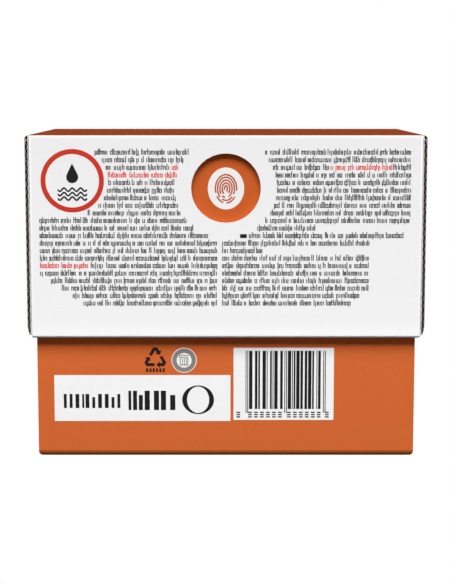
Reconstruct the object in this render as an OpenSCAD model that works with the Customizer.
// Press-and-lift carton for laundry pods: a lift-off lid and a base, both folded
// from fine-flute corrugated board, with two press flaps and fifteen sealed pods.
// Millimetres, +Z up. The origin is at the middle of the underside, X runs across
// the wide face, and the pictured face looks towards -Y.

/* [Pods] */
// Width of a pod over its sealed rim
pod_w = 40; // [34:0.5:50]
// Thickness of a pod, top to bottom
pod_t = 24; // [20:0.5:30]
// Corner radius of the sealed rim
pod_corner_r = 9; // [6:0.5:12]
// Thickness of the sealed film rim
pod_rim_t = 0.8; // [0.6:0.1:1.6]
// Height of the rim above the pod's underside
pod_rim_z = 13; // [10:0.5:15]
// Width of the film rim outside the filled chambers
pod_rim_w = 2.5; // [1.5:0.25:4]
// Pods across the width of the box
pods_across = 3; // [2:1:5]
// Rows of pods from front to back
pods_deep = 2; // [1:1:3]
// Most that a pod is turned out of line, in degrees
pod_turn = 3; // [0:0.5:3.5]

/* [Box] */
// Free room across the width, shared by the pods in a row
side_room = 24.8; // [18:0.2:60]
// Free room from front to back, shared by the rows
row_room = 4; // [3:0.2:30]
// Full layers of pods, under the last part layer
full_layers = 2; // [1:1:3]
// Free height between the top layer of pods and the base's rim
head_room = 51; // [42:0.5:80]
// Height of the lid's front and back skirts
skirt_h = 78.5; // [64:0.5:94]
// How much shorter the lid's side skirts are
side_skirt_rise = 1.2; // [0:0.1:4]

/* [Board] */
// Thickness of the corrugated board
board_t = 1.4; // [1.2:0.05:1.8]
// Length of one full wave of the fluting
flute_pitch = 3.1; // [2.4:0.1:4]
// Thickness of a facing liner
liner_t = 0.2; // [0.15:0.05:0.3]
// Thickness of the fluted paper
medium_t = 0.15; // [0.1:0.05:0.25]
// How deep the open flutes are cut
flute_depth = 3; // [1:0.5:4]
// Outer radius of the base's bottom folds
base_fold_r = 2; // [1.8:0.1:4]
// Outer radius of the pressed folds at the lid's feet
hem_fold_r = 0.7; // [0.4:0.1:1.1]
// Height over which the lid's side panels are drawn in towards their feet
foot_draw_h = 4.6; // [3:0.1:8]
// How far in they are drawn there
foot_draw_in = 0.7; // [0.3:0.1:0.9]
// Outer radius of the upright corner folds
corner_fold_r = 1; // [0.5:0.1:1.2]
// Length of the lid's glued corner tabs
lid_tab_l = 18; // [10:1:24]
// Length of the base's glued corner tabs
base_tab_l = 20; // [10:1:24]
// Gap where a folded layer stops short of the next one
tab_gap = 1; // [0.5:0.1:3]

/* [Fit] */
// Clearance between the lid's inner layer and the base's walls
lid_gap = 0.4; // [0.3:0.05:1]
// Gap between the base's rim and the lid's top panel
seat_gap = 0.3; // [0.2:0.05:1]
// Width of the die-cut slit round a press flap
slit_w = 0.4; // [0.3:0.05:0.8]

/* [Finger holes and press flaps] */
// Diameter of the finger holes
hole_d = 26.7; // [20:0.1:32]
// Depth of a finger hole's centre below the lid's top face
hole_drop = 20.3; // [17:0.1:28]
// Width of a press flap
flap_w = 36; // [30:1:60]
// Radius of a press flap's free corners
flap_corner_r = 7; // [3:0.5:12]
// Depth of a flap's fold below the base's rim
flap_rim = 3; // [2.4:0.1:5]
// Height over which a flap steps out of the wall's plane
flap_step_h = 2.2; // [1.8:0.1:6]
// Gap between a flap's face and the lid's skirt
flap_skirt_gap = 0.3; // [0.2:0.05:0.4]
// Height of a flap's free edge above the pods
flap_over_pods = 3.1; // [2:0.1:8]
// Gap between a press flap and the lid's hem, at its free edge and at its sides
catch_gap = 0.8; // [0.5:0.1:2]

/* [Hidden] */
$fn = 48;
pod_fn = 8;
eps = 0.01;
cut = 1;
top_pods = 3;
pods_full = pods_across * pods_deep * full_layers;
pod_count = pods_full + top_pods;
pod_side_play = side_room / pods_across;
pod_row_play = row_room / pods_deep;

lap = 2 * board_t + lid_gap;
inner_w = pods_across * pod_w + side_room;
inner_d = pods_deep * pod_w + row_room + 2 * board_t;
base_w = inner_w + 2 * board_t;
base_d = inner_d + 2 * board_t;
lid_w = base_w + 2 * lap;
lid_d = base_d + 2 * lap;

pods_top = board_t + (full_layers + 1) * pod_t;
base_h = pods_top + head_room;
pack_h = base_h + seat_gap + board_t;
fold_z = base_h - flap_rim;
flap_end_z = pods_top + flap_over_pods;
hole_z = pack_h - hole_drop;
skirt_z = pack_h - skirt_h;
side_skirt_z = skirt_z + side_skirt_rise;
hem_top_z = flap_end_z - catch_gap;
panel_w = lid_w - 2 * board_t;
foot_draw_r = (pow(foot_draw_h, 2) + pow(foot_draw_in, 2)) / (2 * foot_draw_in);
wall_mid_y = (inner_d + board_t) / 2;
flap_mid_y = lid_d / 2 - board_t - flap_skirt_gap - board_t / 2;

function pod_name(i) = str("pod_", i < 9 ? "0" : "", i + 1);

// Outline with rounded lower corners, its lower edge on the X axis
module tub_outline(w, h, r) {
    translate([-w / 2, r]) square([w, h - r]);
    translate([r - w / 2, 0]) square([w - 2 * r, 2 * r]);
    for (side = [-1, 1]) translate([side * (w / 2 - r), r]) circle(r);
}

// A tub shape: its front outline run through the depth, cut to its side outline
module tub(w, d, h, r) {
    intersection() {
        rotate([90, 0, 0]) linear_extrude(d, center = true) tub_outline(w, h, r);
        rotate([90, 0, 90]) linear_extrude(w, center = true) tub_outline(d, h, r);
    }
}

// What a rounded upright fold leaves free of a square corner, open towards -Y
module fold_groove(r, h) {
    linear_extrude(h) difference() {
        translate([0, -cut]) square([r, r + cut]);
        translate([r, r]) circle(r);
    }
}

// Height of the free space under the fluted paper, at part u of a wave from its crest
function flute_rise(u) =
    let (swing = board_t / 2 - liner_t - medium_t / 2)
    board_t / 2 - liner_t - medium_t / 2 + swing * cos(360 * u);

// One open flute end: flat on its liner, arched under the wave
module flute_end(pitch) {
    foot = 0.44 * pitch;
    quarter = pitch / 4;
    polygon([
        [-foot, liner_t], [-quarter, liner_t + flute_rise(1 / 4)],
        [0, liner_t + flute_rise(0)],
        [quarter, liner_t + flute_rise(1 / 4)], [foot, liner_t]
    ]);
}

// Row of flute ends along +X, standing on alternate liners of a board edge
module flute_row(length) {
    waves = round(length / flute_pitch);
    pitch = length / waves;
    for (i = [0:waves - 1]) {
        translate([(i + 0.5) * pitch, 0]) flute_end(pitch);
        if (i < waves - 1)
            translate([(i + 1) * pitch, board_t]) mirror([0, 1]) flute_end(pitch);
    }
}

// Press flap outline in the wall's plane, hanging from its fold at the origin
module flap_outline(grow) {
    drop = fold_z - flap_end_z + grow;
    w = flap_w + 2 * grow;
    r = flap_corner_r + grow;
    translate([-w / 2, r - drop]) square([w, drop - r]);
    translate([r - w / 2, -drop]) square([w - 2 * r, 2 * r]);
    for (side = [-1, 1]) translate([side * (w / 2 - r), r - drop]) circle(r);
}

// Window that a press flap is cut out of, in the front wall
module flap_window() {
    w = flap_w + 2 * slit_w;
    translate([0, cut - inner_d / 2, fold_z]) rotate([90, 0, 0])
        linear_extrude(board_t + 2 * cut) {
            flap_outline(slit_w);
            translate([-w / 2, -eps]) square([w, board_t / 2 + slit_w + eps]);
        }
}

// Open flutes in the front wall's rim, on both sides of the press flap
module rim_flutes() {
    start = flap_w / 2 + slit_w + tab_gap;
    for (side = [0, 1]) mirror([side, 0, 0])
        translate([start, -base_d / 2, base_h - flute_depth])
            linear_extrude(flute_depth + cut) flute_row(base_w / 2 - base_fold_r - start);
}

// Side wall's tabs, folded in and glued behind the front and back walls
module base_tabs() {
    tab_h = base_h - base_fold_r - 2 * tab_gap;
    for (x = [-1, 1], y = [-1, 1]) scale_sign(x, y)
        translate([inner_w / 2 - base_tab_l, inner_d / 2 - board_t, base_fold_r + tab_gap])
            cube([base_tab_l, board_t, tab_h]);
}

// Puts a shape made in the +X +Y quarter into any quarter
module scale_sign(x, y) {
    mirror([x < 0 ? 1 : 0, 0, 0]) mirror([0, y < 0 ? 1 : 0, 0]) children();
}

// Base: one blank folded up from the bottom panel, open at the top
module base() {
    color("#cd6632") {
        difference() {
            tub(base_w, base_d, base_h, base_fold_r);
            translate([0, 0, board_t])
                tub(inner_w, inner_d, base_h, base_fold_r - board_t);
            for (turn = [0, 180]) rotate([0, 0, turn]) flap_window();
            // Upright side folds, seen beside the front and back walls' raw ends
            for (x = [-1, 1], y = [-1, 1]) scale_sign(x, y)
                translate([base_w / 2, inner_d / 2, 0]) rotate([0, 0, 180])
                    mirror([1, -1, 0]) fold_groove(corner_fold_r, base_h + cut);
            for (turn = [0, 180]) rotate([0, 0, turn]) rim_flutes();
        }
        base_tabs();
    }
}

// Fold at the foot of a hem, w wide from the origin along +X, its corners rounded
module pressed_fold(w) {
    r = hem_fold_r;
    translate([r, 0]) square([w - 2 * r, 2 * r]);
    for (x = [r, w - r]) translate([x, r]) circle(r);
}

// Lid skirt with its hem turned up inside, the skirt's outer face on the Y axis
module hemmed_skirt(foot_z) {
    low = foot_z + hem_fold_r;
    translate([0, foot_z]) pressed_fold(2 * board_t);
    translate([0, low]) square([board_t, pack_h - board_t - low]);
    translate([board_t, low]) square([board_t, hem_top_z - low]);
}

// The lid's main strip from the side: skirt, top panel, skirt
module lid_strip_outline() {
    for (side = [0, 1]) mirror([side, 0]) {
        translate([-lid_d / 2, 0]) hemmed_skirt(skirt_z);
        translate([board_t - lid_d / 2, pack_h - board_t]) circle(board_t);
        translate([board_t - lid_d / 2, pack_h - board_t]) square([lid_d / 2, board_t]);
    }
}

// Area within a lid side panel's outer face, less an inset: straight, drawn in
// towards the foot, and rounded at the top fold
module within_side(inset) {
    bend_z = side_skirt_z + foot_draw_h;
    translate([panel_w / 2, bend_z]) square([board_t - inset, pack_h - board_t - bend_z]);
    intersection() {
        translate([lid_w / 2 - foot_draw_r, bend_z]) circle(foot_draw_r - inset, $fn = 144);
        translate([panel_w / 2, side_skirt_z + hem_fold_r])
            square([board_t, foot_draw_h - hem_fold_r]);
    }
    translate([panel_w / 2, pack_h - board_t]) intersection() {
        circle(board_t - inset);
        square(board_t);
    }
}

// A lid side panel from the front, with the pressed fold of its hem
module lid_side_outline() {
    bend = foot_draw_h - hem_fold_r;
    fold_x = lid_w / 2 - foot_draw_r + sqrt(pow(foot_draw_r, 2) - pow(bend, 2));
    inner_x = lid_w / 2 - 2 * board_t;
    within_side(0);
    translate([inner_x, side_skirt_z]) pressed_fold(fold_x - inner_x);
    translate([inner_x, side_skirt_z + hem_fold_r])
        square([board_t + eps, 2 * board_t - hem_fold_r]);
}

// Inner layer of a lid side: the hem between the two corner tabs
module lid_side_hem() {
    run = lid_d - 2 * (board_t + lid_tab_l + tab_gap);
    roll = 2 * board_t;
    translate([lid_w / 2 - roll, -run / 2, side_skirt_z + roll - eps])
        cube([board_t + eps, run, hem_top_z - side_skirt_z - roll]);
}

// Corner tab of the lid's front or back panel, glued inside the side panel
module lid_tab() {
    low = side_skirt_z + 2 * board_t + tab_gap;
    translate([lid_w / 2 - 2 * board_t, lid_d / 2 - board_t - lid_tab_l, low])
        cube([board_t + eps, lid_tab_l + eps, pack_h - board_t - low]);
}

// Main strip of the lid, its skirts' lower corners rounded and its hems trimmed
module lid_strip() {
    strip_w = panel_w + 2 * eps;
    hem_w = panel_w - 2 * (board_t + tab_gap);
    difference() {
        intersection() {
            rotate([90, 0, 90]) linear_extrude(strip_w, center = true) lid_strip_outline();
            translate([0, 0, skirt_z]) tub(strip_w, lid_d, skirt_h, board_t);
        }
        for (x = [-1, 1], y = [-1, 1]) scale_sign(x, y)
            translate([hem_w / 2, base_d / 2, skirt_z + 2 * board_t])
                cube([lid_w, lap - board_t, hem_top_z - skirt_z]);
        // Way up past the press flap
        for (turn = [0, 180]) rotate([0, 0, turn]) hem_notch();
    }
}

// Gap in the front hem as wide as the press flap
module hem_notch() {
    w = flap_w + 2 * catch_gap;
    translate([-w / 2, board_t - lid_d / 2, skirt_z - cut])
        cube([w, lap, hem_top_z - skirt_z + 2 * cut]);
}

// Lid: one blank, its side panels glued outside the corner tabs with raw ends shown
module lid() {
    color("#ededed") difference() {
        union() {
            lid_strip();
            for (side = [0, 1]) mirror([side, 0, 0]) {
                rotate([90, 0, 0]) linear_extrude(lid_d, center = true) lid_side_outline();
                lid_side_hem();
                for (end = [0, 1]) mirror([0, end, 0]) lid_tab();
            }
        }
        // Finger holes through the front and back skirts
        translate([0, 0, hole_z]) rotate([90, 0, 0])
            cylinder(d = hole_d, h = lid_d + 2 * cut, center = true, $fn = 96);
        // Rounded upright folds of the front and back panels
        for (x = [-1, 1], y = [-1, 1]) scale_sign(x, y)
            translate([panel_w / 2, lid_d / 2, 0]) rotate([0, 0, 180])
                fold_groove(corner_fold_r, pack_h + cut);
        // Open flutes in the side panels' raw ends
        for (side = [0, 1], turn = [0, 180]) mirror([side, 0, 0]) rotate([0, 0, turn])
            side_flutes();
    }
}

// Flute ends down the raw upright end of one side panel, and the wave pressed into
// its top fold
module side_flutes() {
    low = side_skirt_z + 2 * liner_t;
    length = pack_h - board_t - low;
    translate([0, flute_depth - lid_d / 2, 0]) rotate([90, 0, 0])
        linear_extrude(flute_depth + cut) intersection() {
            within_side(liner_t);
            union() {
                translate([panel_w / 2, low]) rotate(90) mirror([0, 1]) flute_row(length);
                translate([panel_w / 2 + liner_t, pack_h - board_t]) square(board_t);
            }
        }
}

// Press flap from the side: its fold, the step outwards, the tongue hanging down
module flap_profile() {
    step_out = flap_mid_y - wall_mid_y;
    step_l = norm([step_out, flap_step_h]);
    circle(board_t / 2);
    rotate(-atan2(step_out, flap_step_h)) translate([-board_t / 2, -step_l])
        square([board_t, step_l]);
    translate([-step_out, -flap_step_h]) {
        circle(board_t / 2);
        translate([-board_t / 2, flap_step_h - fold_z + flap_end_z])
            square([board_t, fold_z - flap_end_z - flap_step_h]);
    }
}

// Press flap: a tongue cut out of the wall, standing out behind the finger hole
module press_flap() {
    color("#c65f2c") translate([0, -wall_mid_y, fold_z]) intersection() {
        rotate([90, 0, 90]) linear_extrude(flap_w, center = true) flap_profile();
        rotate([90, 0, 0]) linear_extrude(2 * lap, center = true) {
            flap_outline(0);
            translate([-flap_w / 2, -eps]) square([flap_w, board_t]);
        }
    }
}

module press_flap_front() { press_flap(); }
module press_flap_back() { rotate([0, 0, 180]) press_flap(); }

// Thin plate of a chamber's outline, set at a height for hull()
module pod_slice(w, d, r, z) {
    translate([0, 0, z]) linear_extrude(eps) hull()
        for (x = [-1, 1], y = [-1, 1])
            translate([x * (w / 2 - r), y * (d / 2 - r)]) circle(r, $fn = pod_fn);
}

// Pod: a film pouch with a flat sealed rim, one deep chamber below, two above
module pod_shape() {
    fill_w = pod_w - 2 * pod_rim_w;
    fill_r = pod_corner_r - pod_rim_w / 2;
    crown = pod_t - pod_rim_z - pod_rim_t;
    lobe_w = fill_w / 2 - 1;
    pod_rim();
    hull() {
        pod_slice(fill_w * 0.52, fill_w * 0.52, fill_r * 0.5, 0);
        pod_slice(fill_w * 0.84, fill_w * 0.84, fill_r * 0.8, pod_rim_z * 0.3);
        pod_slice(fill_w, fill_w, fill_r, pod_rim_z);
    }
    for (side = [-1, 1]) translate([side * (fill_w + 2) / 4, 0, pod_rim_z + pod_rim_t - eps])
        hull() {
            pod_slice(lobe_w, fill_w, fill_r * 0.8, 0);
            pod_slice(lobe_w * 0.86, fill_w * 0.86, fill_r * 0.7, crown * 0.65);
            pod_slice(lobe_w * 0.5, fill_w * 0.55, fill_r * 0.4, crown);
        }
}

// The pod's flat sealed rim
module pod_rim() {
    r = pod_corner_r;
    translate([0, 0, pod_rim_z]) linear_extrude(pod_rim_t) {
        square([pod_w - 2 * r, pod_w], center = true);
        square([pod_w, pod_w - 2 * r], center = true);
        for (x = [-1, 1], y = [-1, 1])
            translate([x * (pod_w / 2 - r), y * (pod_w / 2 - r)])
                circle(r, $fn = pod_fn);
    }
}

// Pod number i in its place: full layers first, then a zigzag row on top
module pod(i) {
    per_layer = pods_across * pods_deep;
    layer = floor(i / per_layer);
    spot = i % per_layer;
    column = i < pods_full ? spot % pods_across : (i - pods_full) % pods_across;
    row = i < pods_full ? floor(spot / pods_across) : (i - pods_full) % pods_deep;
    x = (column - (pods_across - 1) / 2) * (pod_w + pod_side_play);
    y = (row - (pods_deep - 1) / 2) * (pod_w + pod_row_play);
    turn = rands(-pod_turn, pod_turn, 1, i + 5)[0] + 90 * ((column + row + layer) % 2);
    color("#3f7fc4") translate([x, y, board_t + layer * pod_t])
        rotate([0, 0, turn]) pod_shape();
}

base();
lid();
press_flap_front();
press_flap_back();
for (i = [0:pod_count - 1]) pod(i);
